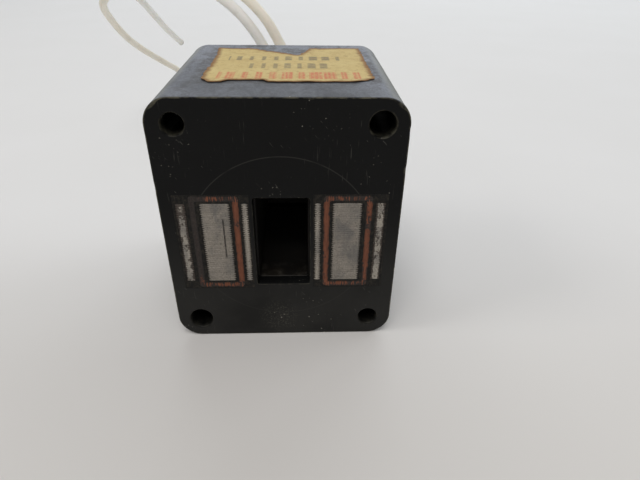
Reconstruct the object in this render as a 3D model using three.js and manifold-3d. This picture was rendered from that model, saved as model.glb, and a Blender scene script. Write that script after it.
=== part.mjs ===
// Encapsulated solenoid field coil for a T-shaped plunger: a moulded block with four screw holes,
// two laminated pole faces with copper shading rings, a blind plunger passage between them,
// a label on top and two flexible leads at the back.
// Millimetres, +Z up. The origin is at the middle of the block's underside. The pole faces look
// along -Y and the leads leave along +Y.
import * as THREE from 'three';
import { mergeVertices } from 'three/addons/utils/BufferGeometryUtils.js';
import Module from 'manifold-3d';

const wasm = await Module();
wasm.setup();

// Block
const width = 50.8;
const depth = 48.7;
const height = 58.4;
const cornerRadius = 5.4;
const frontWall = 3;
const rimDepth = 0.7;
const front = -depth / 2;
const back = depth / 2;

// Screw holes, on a rectangle; opposite corners share a size
const screwPitchX = 40;
const screwPitchZ = 48;
const wideHoleRadius = 2.6;
const narrowHoleRadius = 2.2;
const holeSides = 20;
const outlineSegments = 6;

// Plunger passage
const plungerZ = 26.4;
const mouthHalfWidth = 6;
const mouthHalfHeight = 11.1;
const passageHalfWidth = 5.6;
const passageHalfHeight = 10.9;

// Laminated field stack
const sheetCount = 37;
const sheetPitch = 0.535;
const sheetThickness = 0.5;
const stagger = 0.12;
const stackHeight = (sheetCount - 1) * sheetPitch + sheetThickness;
const stackBottom = plungerZ - stackHeight / 2;
const stackTop = plungerZ + stackHeight / 2;
const stackHalfWidth = 22;
const stackDepth = 44.5;
const lipDepth = 8;
const yokeDepth = 7;
const coilBayHalfWidth = 16.3;
const poleTip = 7;
const innerSlot = [8.35, 10.8];
const outerSlot = [17, 20];
const slotDepth = 4.5;
const rivetRadius = 1.4;
const rivetHoleRadius = 1.8;
const rivetHeadRadius = 2.6;
const rivetHeadHeight = 1;
const rivetCrownShare = 0.7;
const rivetSides = 8;
const rivetHoleSides = 6;
const rivetX = 19.15;
const rivetFrontY = front + 12;
const rivetBackY = front + 41;

// Shading rings
const ringInner = 8.9;
const ringOuter = 19.15;
const ringHalfHeight = 11.65;
const ringBar = 1.25;
const ringDepth = 3.4;
const ringCorner = 0.9;

// Coil
const tubeWall = 1;
const flangeHalfWidth = 15.2;
const flangeHalfHeight = 19.3;
const flangeThickness = 1.2;
const windingInnerHalfWidth = 6.8;
const windingInnerHalfHeight = 12.1;
const windingHalfWidth = 14.2;
const windingHalfHeight = 18.3;
const windingCorner = 3;
const windingInnerCorner = 0.5;
const wrapThickness = 0.5;
const padThickness = 0.6;
const padHalfWidth = 6;
const padHalfLength = 11;

// Cavity inside the moulded case: a tall middle for the coil and a wide middle for the stack
const cavityHalfWidth = 15.8;
const cavityBottom = 4;
const cavityTop = 54.4;
const bayHalfWidth = 22.6;
const bayBottom = 10.6;
const bayTop = 46;

// Lead joints and leads
const leadX = [-2.4, 2];
const leadZ = 49.5;
const leadRadius = 1.5;
const leadSides = 8;
const leadStep = 7;
const jointRadius = 1.2;
const jointLength = 9;
const jointSides = 8;
const sleeveRadius = 1.9;
const sleeveSides = 10;
const sleeveLength = 17;
const sleeveEnds = [front + 12, front + 12 + sleeveLength];
const leadStart = sleeveEnds[1] + 0.4;
const leadExit = back - rimDepth;
const bootLength = 5.6;
const bootBuried = 4;
const bootRadius = 1.95;
const bootTipRadius = 1.8;
const bootBore = 1.64;
const bootCollar = 0.6;
const bootSides = 12;
const leadClearance = 0.15;

// Label
const labelThickness = 0.12;
const labelLift = 0.02;

// Clearances between neighbours
const touch = 0.1;
const loose = 0.3;

// A material of its own for each piece
const finish = (color, roughness, metalness) =>
  new THREE.MeshStandardMaterial({ color, roughness, metalness });
const resin = () => finish(0x26272a, 0.5, 0);
const potting = () => finish(0x1f1f22, 0.4, 0);
const siliconSteel = () => finish(0x8f8a83, 0.4, 0.9);
const copper = () => finish(0x8e4c33, 0.45, 0.9);
const enamelledCopper = () => finish(0x8a3f22, 0.35, 0.6);
const nylon = () => finish(0x2b2a28, 0.5, 0);
const clothTape = () => finish(0xb9a46c, 0.85, 0);
const rivetSteel = () => finish(0x8a8d90, 0.35, 0.9);
const tinnedCopper = () => finish(0xa9a39a, 0.35, 0.9);
const sleeving = () => finish(0x3a3532, 0.6, 0);
const leadJacket = () => finish(0xd2cab4, 0.5, 0);
const paper = () => finish(0xc9a566, 0.85, 0);

const object = new THREE.Group();

function add(name, geometry, material) {
  const mesh = new THREE.Mesh(geometry, material);
  mesh.name = name;
  object.add(mesh);
}

// A box from its limits along X, Y and Z.
function block(x, y, z) {
  const box = new THREE.BoxGeometry(x[1] - x[0], y[1] - y[0], z[1] - z[0]);
  return box.translate((x[0] + x[1]) / 2, (y[0] + y[1]) / 2, (z[0] + z[1]) / 2);
}

// An outline drawn in X and Z, carried along Y from y[0] to y[1].
function prism(shape, y, curveSegments = 4) {
  const solid = new THREE.ExtrudeGeometry(shape, {
    depth: y[1] - y[0],
    bevelEnabled: false,
    curveSegments,
  });
  return solid.rotateX(Math.PI / 2).translate(0, y[1], 0);
}

// A rectangle with rounded corners, as a Shape or as a Path for a hole.
function roundedRectangle(Kind, x, z, radius) {
  const outline = new Kind();
  outline.absarc(x[1] - radius, z[0] + radius, radius, -Math.PI / 2, 0);
  outline.absarc(x[1] - radius, z[1] - radius, radius, 0, Math.PI / 2);
  outline.absarc(x[0] + radius, z[1] - radius, radius, Math.PI / 2, Math.PI);
  outline.absarc(x[0] + radius, z[0] + radius, radius, Math.PI, Math.PI * 1.5);
  return outline;
}

function rectangle(Kind, x, z) {
  const corners = [[x[0], z[0]], [x[1], z[0]], [x[1], z[1]], [x[0], z[1]]];
  return new Kind(corners.map(([a, b]) => new THREE.Vector2(a, b)));
}

function polygon(Kind, x, z, radius, sides) {
  const corners = [];
  for (let i = 0; i < sides; i++) {
    const angle = (2 * Math.PI * i) / sides;
    corners.push(new THREE.Vector2(x + radius * Math.cos(angle), z + radius * Math.sin(angle)));
  }
  return new Kind(corners);
}

// A round piece from its radii at stations along Y, on an axis at x and z.
function turned(profile, segments, x, z) {
  const points = profile.map(([radius, y]) => new THREE.Vector2(radius, y));
  return new THREE.LatheGeometry(points, segments).translate(x, 0, z);
}

function solidOf(geometry) {
  const bare = geometry.clone();
  bare.deleteAttribute('normal');
  bare.deleteAttribute('uv');
  const merged = mergeVertices(bare, 1e-4);
  return new wasm.Manifold(
    new wasm.Mesh({
      numProp: 3,
      vertProperties: merged.attributes.position.array,
      triVerts: new Uint32Array(merged.index.array),
    }),
  );
}

function geometryOf(solid) {
  const mesh = solid.getMesh();
  const geometry = new THREE.BufferGeometry();
  geometry.setAttribute('position', new THREE.BufferAttribute(mesh.vertProperties, 3));
  geometry.setIndex(new THREE.BufferAttribute(mesh.triVerts, 1));
  return geometry;
}

function cut(geometry, ...tools) {
  return geometryOf(tools.reduce((rest, tool) => rest.subtract(solidOf(tool)), solidOf(geometry)));
}

function join(first, ...others) {
  return geometryOf(others.reduce((sum, other) => sum.add(solidOf(other)), solidOf(first)));
}

// The mirror pair of ranges that a left and a right piece take along X.
const sides = { left: -1, right: 1 };
const across = (side, near, far) => (side < 0 ? [-far, -near] : [near, far]);
const about = (centre, half) => [centre - half, centre + half];
const outward = (limit, end) => limit + (end ? touch : -touch);

// The case's inside, shrunk all round by a clearance.
function cavity(y, clearance) {
  const tall = block(
    about(0, cavityHalfWidth - clearance),
    y,
    [cavityBottom + clearance, cavityTop - clearance],
  );
  const wide = block(
    about(0, bayHalfWidth - clearance),
    y,
    [bayBottom + clearance, bayTop - clearance],
  );
  return join(tall, wide);
}

// The opening in the front wall for one pole and its shading ring.
const poleWindow = (side, y, clearance) =>
  block(
    across(side, poleTip - loose + clearance, bayHalfWidth - clearance),
    y,
    about(plungerZ, ringHalfHeight + loose - clearance),
  );

// Moulded case, open at the back
function moulding() {
  const outline = roundedRectangle(THREE.Shape, about(0, width / 2), [0, height], cornerRadius);
  for (const x of [-1, 1]) {
    for (const z of [-1, 1]) {
      const radius = x * z > 0 ? wideHoleRadius : narrowHoleRadius;
      const centreZ = height / 2 + (z * screwPitchZ) / 2;
      outline.holes.push(polygon(THREE.Path, (x * screwPitchX) / 2, centreZ, radius, holeSides));
    }
  }
  const throughWall = [front - 1, front + frontWall + 1];
  return cut(
    prism(outline, [front, back], outlineSegments),
    cavity([front + frontWall, back + 1], 0),
    block(about(0, mouthHalfWidth), throughWall, about(plungerZ, mouthHalfHeight)),
    poleWindow(-1, throughWall, 0),
    poleWindow(1, throughWall, 0),
  );
}
add('moulded_case', moulding(), resin());

// Field laminations: one punched outline, every second sheet turned over, so that the slots'
// edges step from side to side
// The outline, with its pole edges moved sideways by shift and the whole grown by a clearance.
function sheetOutline(shift, grow = 0) {
  const slotFloor = front + slotDepth - grow;
  const half = (side) => [
    [side * (stackHalfWidth + grow), front - grow],
    [side * (outerSlot[1] - grow) + shift, front - grow],
    [side * (outerSlot[1] - grow) + shift, slotFloor],
    [side * (outerSlot[0] + grow) + shift, slotFloor],
    [side * (outerSlot[0] + grow) + shift, front - grow],
    [side * (innerSlot[1] - grow) + shift, front - grow],
    [side * (innerSlot[1] - grow) + shift, slotFloor],
    [side * (innerSlot[0] + grow) + shift, slotFloor],
    [side * (innerSlot[0] + grow) + shift, front - grow],
    [side * (poleTip - grow) + shift, front - grow],
    [side * (poleTip - grow) + shift, front + lipDepth + grow],
    [side * (coilBayHalfWidth - grow), front + lipDepth + grow],
    [side * (coilBayHalfWidth - grow), front + stackDepth - yokeDepth - grow],
  ];
  const backCorners = [
    [stackHalfWidth + grow, front + stackDepth + grow],
    [-stackHalfWidth - grow, front + stackDepth + grow],
  ];
  const points = [...half(-1), ...half(1).reverse(), ...backCorners];
  return new THREE.Shape(points.map(([x, y]) => new THREE.Vector2(x, y)));
}

for (let i = 0; i < sheetCount; i++) {
  const outline = sheetOutline(i % 2 ? stagger : -stagger);
  for (const x of [-rivetX, rivetX]) {
    for (const y of [rivetFrontY, rivetBackY]) {
      outline.holes.push(polygon(THREE.Path, x, y, rivetHoleRadius, rivetHoleSides));
    }
  }
  const sheet = new THREE.ExtrudeGeometry(outline, { depth: sheetThickness, bevelEnabled: false });
  sheet.translate(0, 0, stackBottom + i * sheetPitch);
  add(`lamination_${String(i + 1).padStart(2, '0')}`, sheet, siliconSteel());
}

// Stack rivets
for (const [side, sign] of Object.entries(sides)) {
  for (const [place, y] of Object.entries({ front: rivetFrontY, back: rivetBackY })) {
    const bottom = stackBottom - touch;
    const top = stackTop + touch;
    const profile = [
      [0, bottom - rivetHeadHeight],
      [rivetHeadRadius * rivetCrownShare, bottom - rivetHeadHeight],
      [rivetHeadRadius, bottom],
      [rivetRadius, bottom],
      [rivetRadius, top],
      [rivetHeadRadius, top],
      [rivetHeadRadius * rivetCrownShare, top + rivetHeadHeight],
      [0, top + rivetHeadHeight],
    ];
    const points = profile.map(([radius, z]) => new THREE.Vector2(radius, z));
    const rivet = new THREE.LatheGeometry(points, rivetSides).rotateX(Math.PI / 2);
    add(`stack_rivet_${place}_${side}`, rivet.translate(sign * rivetX, y, 0), rivetSteel());
  }
}

// Shading rings, one in each pole face
for (const [side, sign] of Object.entries(sides)) {
  const x = across(sign, ringInner, ringOuter);
  const z = about(plungerZ, ringHalfHeight);
  const outline = roundedRectangle(THREE.Shape, x, z, ringCorner);
  const inside = [z[0] + ringBar, z[1] - ringBar];
  outline.holes.push(rectangle(THREE.Path, [x[0] + ringBar, x[1] - ringBar], inside));
  add(`shading_ring_${side}`, prism(outline, [front, front + ringDepth]), copper());
}

// Bobbin: a square tube with two flanges and a nose that reaches between the pole lips
const bobbinFront = front + lipDepth + touch;
const bobbinBack = front + stackDepth - yokeDepth - touch;
const tubeHalfWidth = passageHalfWidth + tubeWall;
const tubeHalfHeight = passageHalfHeight + tubeWall;
function bobbin() {
  const flange = (y) => block(about(0, flangeHalfWidth), y, about(plungerZ, flangeHalfHeight));
  const spool = join(
    block(
      about(0, tubeHalfWidth),
      [front + frontWall + touch, bobbinBack],
      about(plungerZ, tubeHalfHeight),
    ),
    flange([bobbinFront, bobbinFront + flangeThickness]),
    flange([bobbinBack - flangeThickness, bobbinBack]),
  );
  const passage = block(
    about(0, passageHalfWidth),
    [front, back],
    about(plungerZ, passageHalfHeight),
  );
  return cut(spool, passage);
}
add('bobbin', bobbin(), nylon());

// Winding and its tape wrap
const windingY = [
  bobbinFront + flangeThickness + touch,
  bobbinBack - flangeThickness - touch,
];
function windingLayer(inner, outer, innerCorner, outerCorner) {
  const outline = roundedRectangle(
    THREE.Shape,
    about(0, outer[0]),
    about(plungerZ, outer[1]),
    outerCorner,
  );
  outline.holes.push(
    roundedRectangle(THREE.Path, about(0, inner[0]), about(plungerZ, inner[1]), innerCorner),
  );
  return prism(outline, windingY, 3);
}
const wrapInner = [windingHalfWidth + touch, windingHalfHeight + touch];
add(
  'coil_winding',
  windingLayer(
    [windingInnerHalfWidth, windingInnerHalfHeight],
    [windingHalfWidth, windingHalfHeight],
    windingInnerCorner,
    windingCorner,
  ),
  enamelledCopper(),
);
add(
  'coil_wrap',
  windingLayer(
    wrapInner,
    wrapInner.map((half) => half + wrapThickness),
    windingCorner + touch,
    windingCorner + touch + wrapThickness,
  ),
  clothTape(),
);

// Insulating pad between the coil and the lead joints
const padX = about((leadX[0] + leadX[1]) / 2, padHalfWidth);
const padY = about((sleeveEnds[0] + sleeveEnds[1]) / 2, padHalfLength);
const padZ = [
  plungerZ + flangeHalfHeight + touch,
  plungerZ + flangeHalfHeight + touch + padThickness,
];
add('joint_pad', block(padX, padY, padZ), clothTape());

// Leads: free routes from the back of the block, in millimetres
const routes = {
  left: [
    [-2.8, 29.4, 50.1],
    [-4.1, 33.4, 52],
    [-6, 36.3, 54.9],
    [-8.3, 38, 58.3],
    [-11.2, 39.7, 61.8],
    [-14.3, 41.7, 64.6],
    [-18, 44.5, 67],
    [-24.2, 50, 70],
    [-32, 57, 72.2],
    [-41, 65.5, 73],
    [-50, 74, 72.6],
    [-57.5, 82, 70.9],
    [-63, 90.5, 68.7],
    [-66.2, 100, 66.8],
    [-67.2, 110, 64.1],
    [-66.6, 118.5, 61.1],
    [-65.5, 126.5, 57.2],
    [-64.3, 138.6, 49.9],
    [-62.2, 151.6, 41.3],
    [-59, 162.6, 33.7],
  ],
  right: [
    [1.6, 29.4, 50.1],
    [0.6, 33.4, 52.1],
    [-1, 36.2, 55],
    [-2.9, 38, 58.4],
    [-5.2, 39.8, 61.8],
    [-7.8, 41.8, 64.6],
    [-11, 44.7, 67.1],
    [-16.6, 50, 70],
    [-24, 56.8, 72],
    [-33, 64.5, 72.2],
    [-43, 72.5, 70.8],
    [-53, 80, 68.6],
    [-62, 87.5, 65.8],
    [-69.4, 94.5, 62.4],
    [-74, 102, 58.4],
    [-76.4, 114, 51.8],
    [-76.4, 130.6, 41.5],
    [-73.8, 141, 34.6],
    [-68.6, 152.6, 26.8],
    [-62.4, 161.5, 19.8],
    [-56, 167, 13.4],
    [-49, 170, 7.8],
    [-41, 170.6, 3.6],
    [-33, 168.4, 1.8],
    [-25.5, 163.5, 1.6],
  ],
};
for (const [index, side] of Object.keys(sides).entries()) {
  const x = leadX[index];
  const jointY = about((sleeveEnds[0] + sleeveEnds[1]) / 2, jointLength / 2);

  // Crimped joint between the magnet wire and the lead, and the sleeve pushed over it
  const joint = [[0, jointY[0]], [jointRadius, jointY[0]], [jointRadius, jointY[1]], [0, jointY[1]]];
  add(`lead_joint_${side}`, turned(joint, jointSides, x, leadZ), tinnedCopper());
  const wall = jointRadius + loose;
  const sleeve = [
    [wall, sleeveEnds[0]],
    [sleeveRadius, sleeveEnds[0]],
    [sleeveRadius, sleeveEnds[1]],
    [wall, sleeveEnds[1]],
    [wall, sleeveEnds[0]],
  ];
  add(`joint_sleeve_${side}`, turned(sleeve, sleeveSides, x, leadZ), sleeving());

  // Tapered boot, half buried in the potting
  const bootY = [leadExit - bootBuried, leadExit - bootBuried + bootLength];
  const boot = [
    [bootBore, bootY[0]],
    [bootRadius, bootY[0]],
    [bootRadius, leadExit + bootCollar],
    [bootTipRadius, bootY[1]],
    [bootBore, bootY[1]],
    [bootBore, bootY[0]],
  ];
  add(`lead_boot_${side}`, turned(boot, bootSides, x, leadZ), sleeving());

  // Lead
  const straight = [[x, leadStart, leadZ], [x, (leadStart + leadExit) / 2, leadZ], [x, leadExit, leadZ]];
  const points = [...straight, ...routes[side]].map(([a, b, c]) => new THREE.Vector3(a, b, c));
  const path = new THREE.CatmullRomCurve3(points);
  const steps = Math.round(path.getLength() / leadStep);
  const lead = new THREE.ExtrudeGeometry(polygon(THREE.Shape, 0, 0, leadRadius, leadSides), {
    steps,
    extrudePath: path,
    bevelEnabled: false,
  });
  add(`lead_${side}`, lead, leadJacket());
}

// Potting: fills the case around the stack, the rings, the coil and the joints, and shows in the
// pole openings and at the back
const stackZ = [stackBottom - touch, stackTop + touch];

// What the potting leaves free for one pole face: its shading ring.
function ringSeat(sign) {
  const x = across(sign, ringInner - touch, ringOuter + touch);
  const z = about(plungerZ, ringHalfHeight + touch);
  const bar = ringBar + 2 * touch;
  const outline = rectangle(THREE.Shape, x, z);
  outline.holes.push(rectangle(THREE.Path, [x[0] + bar, x[1] - bar], [z[0] + bar, z[1] - bar]));
  return prism(outline, [front - 1, front + ringDepth + touch]);
}

// What it leaves free for one rivet, heads included.
const rivetSeat = (x, y) =>
  block(
    about(x, rivetHeadRadius + touch),
    about(y, rivetHeadRadius + touch),
    [stackZ[0] - rivetHeadHeight - touch, stackZ[1] + rivetHeadHeight + touch],
  );

// What it leaves free for one lead: its joint's sleeve, the lead itself and its boot.
const leadSeat = (x) =>
  join(
    prism(polygon(THREE.Shape, x, leadZ, sleeveRadius + leadClearance, sleeveSides), [
      sleeveEnds[0] - loose,
      sleeveEnds[1] + loose,
    ]),
    prism(polygon(THREE.Shape, x, leadZ, leadRadius + loose, sleeveSides), [sleeveEnds[1], back]),
    prism(polygon(THREE.Shape, x, leadZ, bootRadius + leadClearance, bootSides), [
      leadExit - bootBuried - loose,
      back,
    ]),
  );

function pottingFill() {
  const seat = new THREE.ExtrudeGeometry(sheetOutline(0, stagger + touch), {
    depth: stackZ[1] - stackZ[0],
    bevelEnabled: false,
  });
  seat.translate(0, 0, stackZ[0]);
  const coilSeat = block(
    about(0, coilBayHalfWidth + loose),
    [front + lipDepth - touch, front + stackDepth - yokeDepth + touch],
    about(plungerZ, flangeHalfHeight + touch),
  );
  const noseSeat = block(
    about(0, poleTip),
    [front - 1, front + lipDepth],
    about(plungerZ, tubeHalfHeight + touch),
  );
  return cut(
    join(
      cavity([front + frontWall + touch, leadExit], touch),
      ...Object.values(sides).map((sign) =>
        poleWindow(sign, [front, front + frontWall + 1], touch),
      ),
    ),
    seat,
    coilSeat,
    noseSeat,
    ...Object.values(sides).map(ringSeat),
    ...[-rivetX, rivetX].flatMap((x) => [rivetSeat(x, rivetFrontY), rivetSeat(x, rivetBackY)]),
    block(padX.map(outward), padY.map(outward), [padZ[0] - 1, padZ[1] + touch]),
    ...leadX.map(leadSeat),
  );
}
add('potting', pottingFill(), potting());

// Paper label with a torn back edge
const labelOutline = [
  [-14.3, -14.3],
  [-11.8, -14.2],
  [-10.4, -12.8],
  [-3.5, -12.6],
  [-2.2, -14.1],
  [8.9, -14],
  [16, -13.9],
  [19.8, -11.5],
  [19.5, -0.9],
  [19.5, 19.6],
  [6.6, 18.6],
  [5, 13.7],
  [3.5, 11],
  [-0.7, 13.5],
  [-3.8, 15.3],
  [-7, 18.2],
  [-16.8, 19.2],
  [-16.4, 13],
  [-15.9, 4.3],
  [-16.3, -4.4],
  [-16.2, -12],
];
const label = new THREE.ExtrudeGeometry(
  new THREE.Shape(labelOutline.map(([x, y]) => new THREE.Vector2(x, y))),
  { depth: labelThickness, bevelEnabled: false },
);
add('label', label.translate(0, 0, height + labelLift), paper());

export default object;
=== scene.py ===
import math
import random

import bmesh
import bpy
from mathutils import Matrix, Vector, noise
from mathutils.geometry import delaunay_2d_cdt


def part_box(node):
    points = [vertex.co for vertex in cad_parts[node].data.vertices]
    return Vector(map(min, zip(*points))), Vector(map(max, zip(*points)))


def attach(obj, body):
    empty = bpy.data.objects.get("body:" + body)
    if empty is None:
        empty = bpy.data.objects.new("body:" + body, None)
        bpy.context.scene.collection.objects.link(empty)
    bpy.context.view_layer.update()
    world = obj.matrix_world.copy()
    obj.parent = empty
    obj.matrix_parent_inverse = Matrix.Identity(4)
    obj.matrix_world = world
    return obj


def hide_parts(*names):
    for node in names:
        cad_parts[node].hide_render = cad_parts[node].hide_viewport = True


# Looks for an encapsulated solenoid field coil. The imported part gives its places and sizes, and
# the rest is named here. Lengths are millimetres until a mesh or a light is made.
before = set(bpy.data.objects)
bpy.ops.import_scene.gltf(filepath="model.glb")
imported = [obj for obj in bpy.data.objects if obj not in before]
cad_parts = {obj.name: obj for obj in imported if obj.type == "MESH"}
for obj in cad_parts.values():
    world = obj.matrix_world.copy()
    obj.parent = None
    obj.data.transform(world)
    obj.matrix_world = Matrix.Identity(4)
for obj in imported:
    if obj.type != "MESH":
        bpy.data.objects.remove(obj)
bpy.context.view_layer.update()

MM = 0.001


def limits(node):
    """A CAD node's lowest and highest corners, in millimetres."""
    low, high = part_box(node)
    return low / MM, high / MM


# Block
case_low, case_high = limits("moulded_case")
FRONT, BACK = case_low.y, case_high.y
HALF_WIDTH, HEIGHT = case_high.x, case_high.z
CORNER_RADIUS = 5.4
FRONT_WALL = 3.0
SCREW_X, SCREW_Z = 20.0, 24.0
WIDE_HOLE, NARROW_HOLE = 2.6, 2.2
SIDES = {"left": -1, "right": 1}

# Plunger passage and the openings of the front wall
potting_low, potting_high = limits("potting")
bobbin_low, bobbin_high = limits("bobbin")
ring_low, ring_high = limits("shading_ring_right")
PLUNGER_Z = (ring_low.z + ring_high.z) / 2
MOUTH, PASSAGE = (6.0, 11.1), (5.6, 10.9)
WINDOW_NEAR = 6.7
TOUCH, LOOSE = 0.1, 0.3
WINDOW_HALF_HEIGHT = ring_high.z + LOOSE - PLUNGER_Z
MOUTH_CORNER, WINDOW_CORNER, CAVITY_CORNER = 0.5, 0.3, 0.8
RESIN_BACK = potting_high.y

# The cavity is a tall rectangle and a wide one, each given by its half width, bottom and top
TALL = (15.8, potting_low.z - TOUCH, potting_high.z + TOUCH)
WIDE = (potting_high.x + TOUCH, 10.6, 46.0)

# Laminated stack
SHEETS = 37
sheet_low, sheet_high = limits("lamination_01")
SHEET_PITCH = (limits(f"lamination_{SHEETS:02d}")[0].z - sheet_low.z) / (SHEETS - 1)
SHEET_THICKNESS = sheet_high.z - sheet_low.z
STACK_HALF_WIDTH, STACK_BACK = sheet_high.x, sheet_high.y
POLE_TIP = 7.0
INNER_SLOT, OUTER_SLOT = (8.35, 10.8), (17.0, 20.0)
SLOT_DEPTH, LIP_DEPTH, YOKE_DEPTH = 4.5, 8.0, 7.0
COIL_BAY = 16.3
RIVET_PLACES = (FRONT + 12, FRONT + 41)
RIVET_X, RIVET_HOLE = 19.15, 1.6

# Coil and label
winding_low, winding_high = limits("coil_winding")
wrap_low, wrap_high = limits("coil_wrap")
label_low, label_high = limits("label")


# ---------------- shapes


def stand(name, data):
    """An object of the scene."""
    made = bpy.data.objects.new(name, data)
    bpy.context.scene.collection.objects.link(made)
    return made


class Mesh:
    """Points and faces gathered ring by ring, in millimetres. Each point has a wear from 0 to 1."""

    def __init__(self):
        self.points = []
        self.wear = []
        self.faces = []

    def ring(self, points, wear=0.0):
        first = len(self.points)
        self.points += [tuple(point) for point in points]
        self.wear += [wear] * (len(self.points) - first)
        return list(range(first, len(self.points)))

    def walls(self, loops):
        """A ring for each loop of points, with bands between them."""
        rings = [self.ring(loop) for loop in loops]
        self.bands(rings)
        return rings

    def bands(self, rings):
        """Quads from each closed ring to the next, which has as many points."""
        for a, b in zip(rings, rings[1:]):
            for i in range(len(a)):
                self.faces.append((a[i - 1], a[i], b[i], b[i - 1]))

    def fill(self, outline, holes=(), inside=()):
        """Triangles over a nearly flat ring, leaving its holes open and using the points inside."""
        rings = [outline, *holes]
        used = [i for ring in rings for i in ring] + list(inside)
        corners = [self.points[i] for i in used]
        spread = [max(c[k] for c in corners) - min(c[k] for c in corners) for k in range(3)]
        u, v = [k for k in range(3) if k != spread.index(min(spread))]
        flat = [Vector((c[u], c[v])) for c in corners]
        polygons, first = [], 0
        for ring in rings:
            polygons.append(list(range(first, first + len(ring))))
            first += len(ring)
        result = delaunay_2d_cdt(flat, [], polygons, 1, 1e-6)
        sources = [found[0] for found in result[3]]
        for face, polygon in zip(result[2], result[5]):
            if list(polygon) == [0]:
                self.faces.append(tuple(used[sources[i]] for i in face))

    def close(self, outer, *inner):
        """A face over each end of a wall, with a hole for each wall inside it."""
        for end in (0, -1):
            self.fill(outer[end], [rings[end] for rings in inner])

    def data(self, name, material):
        data = bpy.data.meshes.new(name)
        data.from_pydata([[c * MM for c in point] for point in self.points], [], self.faces)
        data.materials.append(material)
        return data

    def piece(self, name, material, node=None, smooth_below=40.0):
        """The mesh as a piece that rides on the block and may stand for a CAD node."""
        data = self.data(name, material)
        data.attributes.new("wear", "FLOAT", "POINT").data.foreach_set("value", self.wear)
        tidy = bmesh.new()
        tidy.from_mesh(data)
        bmesh.ops.recalc_face_normals(tidy, faces=tidy.faces)
        tidy.to_mesh(data)
        tidy.free()
        data.shade_smooth()
        data.set_sharp_from_angle(angle=math.radians(smooth_below))
        made = stand(name, data)
        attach(made, "root")
        if node:
            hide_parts(node)
        return made


def wobble(x, y, z, size, seed=0.0):
    """Smooth noise from -1 to 1, with blots about size across."""
    return noise.noise(Vector((x / size + seed, y / size - seed, z / size + 2 * seed)))


def spaced(low, high, count):
    """Count + 1 evenly spaced numbers, both ends among them."""
    return [low + (high - low) * i / count for i in range(count + 1)]


def length_of(path):
    return sum((q - p).length for p, q in zip(path, path[1:]))


def curve_through(points, step):
    """Points about step apart on the centripetal Catmull-Rom curve through the given points."""
    knots = [Vector(point) for point in points]
    knots = [2 * knots[0] - knots[1], *knots, 2 * knots[-1] - knots[-2]]
    dense = [knots[1]]
    for a, b, c, d in zip(knots, knots[1:], knots[2:], knots[3:]):
        before, here, after = [(q - p).length ** 0.5 for p, q in ((a, b), (b, c), (c, d))]
        leave = ((b - a) / before - (c - a) / (before + here) + (c - b) / here) * here
        arrive = ((c - b) / here - (d - b) / (here + after) + (d - c) / after) * here
        square, cube = 3 * (c - b) - 2 * leave - arrive, leave + arrive - 2 * (c - b)
        dense += [b + leave * t + square * t**2 + cube * t**3 for t in spaced(0, 1, 24)[1:]]
    count = round(length_of(dense) / step)
    stride = length_of(dense) / count
    path, walked = [dense[0]], 0.0
    for point, ahead in zip(dense, dense[1:]):
        length = (ahead - point).length
        while walked + length >= len(path) * stride - 1e-9 and len(path) < count:
            path.append(point.lerp(ahead, (len(path) * stride - walked) / length))
        walked += length
    return path + [dense[-1]]


def across_path(path):
    """Two unit vectors square to the path at each of its points, carried along without twist."""
    side = Vector((0, 0, 1))
    pairs = []
    for i in range(len(path)):
        along = (path[min(i + 1, len(path) - 1)] - path[max(i - 1, 0)]).normalized()
        side = (side - along * side.dot(along)).normalized()
        pairs.append((side, along.cross(side)))
    return pairs


def angles(count):
    return [2 * math.pi * k / count for k in range(count)]


def hoop(centre, pair, radius_at, count):
    """Points round a centre, in the plane of two unit vectors; the radius is given by angle."""
    u, v = pair
    return [centre + (u * math.cos(a) + v * math.sin(a)) * radius_at(a) for a in angles(count)]


def tube(mesh, path, radius_at, count, wear_at=lambda i: 0.0):
    """Rings along a path, whose radius is given by place and angle, without the bands."""
    return [
        mesh.ring(hoop(centre, pair, lambda a: radius_at(i, a), count), wear_at(i))
        for i, (centre, pair) in enumerate(zip(path, across_path(path)))
    ]


def ways_in(points):
    """The way in at each point of an anticlockwise outline."""
    ways = []
    for i in range(len(points)):
        along = (points[(i + 1) % len(points)] - points[i - 1]).normalized()
        ways.append(Vector((-along.y, along.x)))
    return ways


def rounded(corners, radius, steps, spacing=1.0, parts=None):
    """Points along an anticlockwise polygon with its corners rounded, and the way in at each.

    The straights have points about spacing apart, or are all in as many parts.
    """
    arcs = []
    for i, corner in enumerate(corners):
        here = Vector(corner)
        a = (here - Vector(corners[i - 1])).normalized()
        b = (Vector(corners[(i + 1) % len(corners)]) - here).normalized()
        turn = math.copysign(1, a.x * b.y - a.y * b.x)
        start = here - a * radius * math.tan(a.angle(b) / 2)
        centre = start + Vector((-a.y, a.x)) * radius * turn
        spoke = start - centre
        arc = []
        for angle in spaced(0, a.angle(b) * turn, steps):
            cos, sin = math.cos(angle), math.sin(angle)
            arc.append(centre + Vector((spoke.x * cos - spoke.y * sin, spoke.x * sin + spoke.y * cos)))
        arcs.append(arc)
    points = []
    for arc, following in zip(arcs, arcs[1:] + arcs[:1]):
        count = parts or max(1, round((following[0] - arc[-1]).length / spacing))
        points += arc + [arc[-1].lerp(following[0], k / count) for k in range(1, count)]
    return points, ways_in(points)


def even_loop(corners, radius, straights=14):
    """A rounded rectangle with the same number of points whatever its size."""
    return rounded(corners, radius, 5, parts=straights)[0]


def rectangle(x, z):
    return [(x[0], z[0]), (x[1], z[0]), (x[1], z[1]), (x[0], z[1])]


def about(centre, half):
    return (centre - half, centre + half)


def round_plunger(size, out=0.0):
    """A rectangle round the plunger's axis, so far out from a half width and half height."""
    return rectangle(about(0, size[0] + out), about(PLUNGER_Z, size[1] + out))


def across(sign, near, far):
    return (near, far) if sign > 0 else (-far, -near)


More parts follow.
